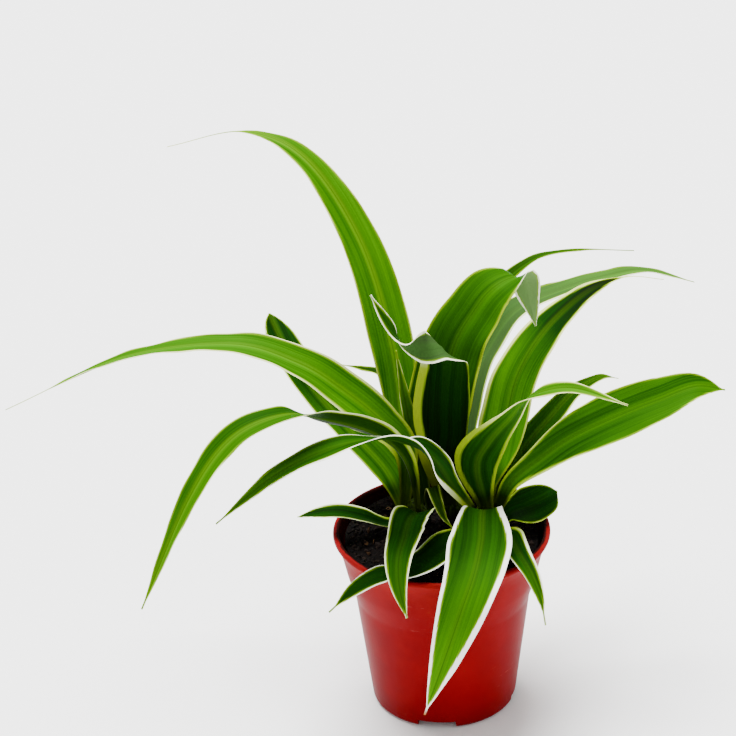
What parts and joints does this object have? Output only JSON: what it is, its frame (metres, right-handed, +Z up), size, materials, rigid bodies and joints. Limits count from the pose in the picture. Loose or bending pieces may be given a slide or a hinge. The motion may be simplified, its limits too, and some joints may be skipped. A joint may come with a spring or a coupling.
{
  "type": "potted spider plant",
  "caption": "Young variegated spider plant with arching striped leaves in a round tapered plastic nursery pot with a flared collar.",
  "frame": {"origin": "centre of the pot's flat base", "axes": "+Z up along the pot's axis; -Y faces the pictured side, where the broad leaf hangs over the rim"},
  "size_m": [0.3395, 0.1797, 0.2527],
  "materials": {
    "pot": "moulded, glossy, deep red",
    "soil": "moist dark potting soil with bark chips; stone stands in for it",
    "crown": "pale green leaf bases; leather stands in for living plant tissue",
    "leaf": "satin green blade with white margins; leather stands in for living plant tissue"
  },
  "bodies": {
    "root": {"pot": "pot", "soil": "soil", "crown_left": "crown", "crown_middle": "crown", "crown_right": "crown", "leaf_tall": "leaf", "leaf_left_long": "leaf", "leaf_left_upper_droop": "leaf", "leaf_left_lower_droop": "leaf", "leaf_back_left": "leaf", "leaf_left_back_small": "leaf", "leaf_left_small": "leaf", "leaf_young": "leaf", "leaf_inner_strip": "leaf", "leaf_center_broad": "leaf", "leaf_center_curl": "leaf", "leaf_right_twist": "leaf", "leaf_right_big": "leaf", "leaf_right_narrow": "leaf", "leaf_top_right_thin": "leaf", "leaf_right_low": "leaf", "leaf_right_mid_back": "leaf", "leaf_right_dark": "leaf", "leaf_front_hanging": "leaf", "leaf_front_left": "leaf", "leaf_lower_left": "leaf", "leaf_lower_right": "leaf", "leaf_back_low_left": "leaf", "leaf_back_low_middle": "leaf", "leaf_back_low_right": "leaf"}
  },
  "joints": []
}
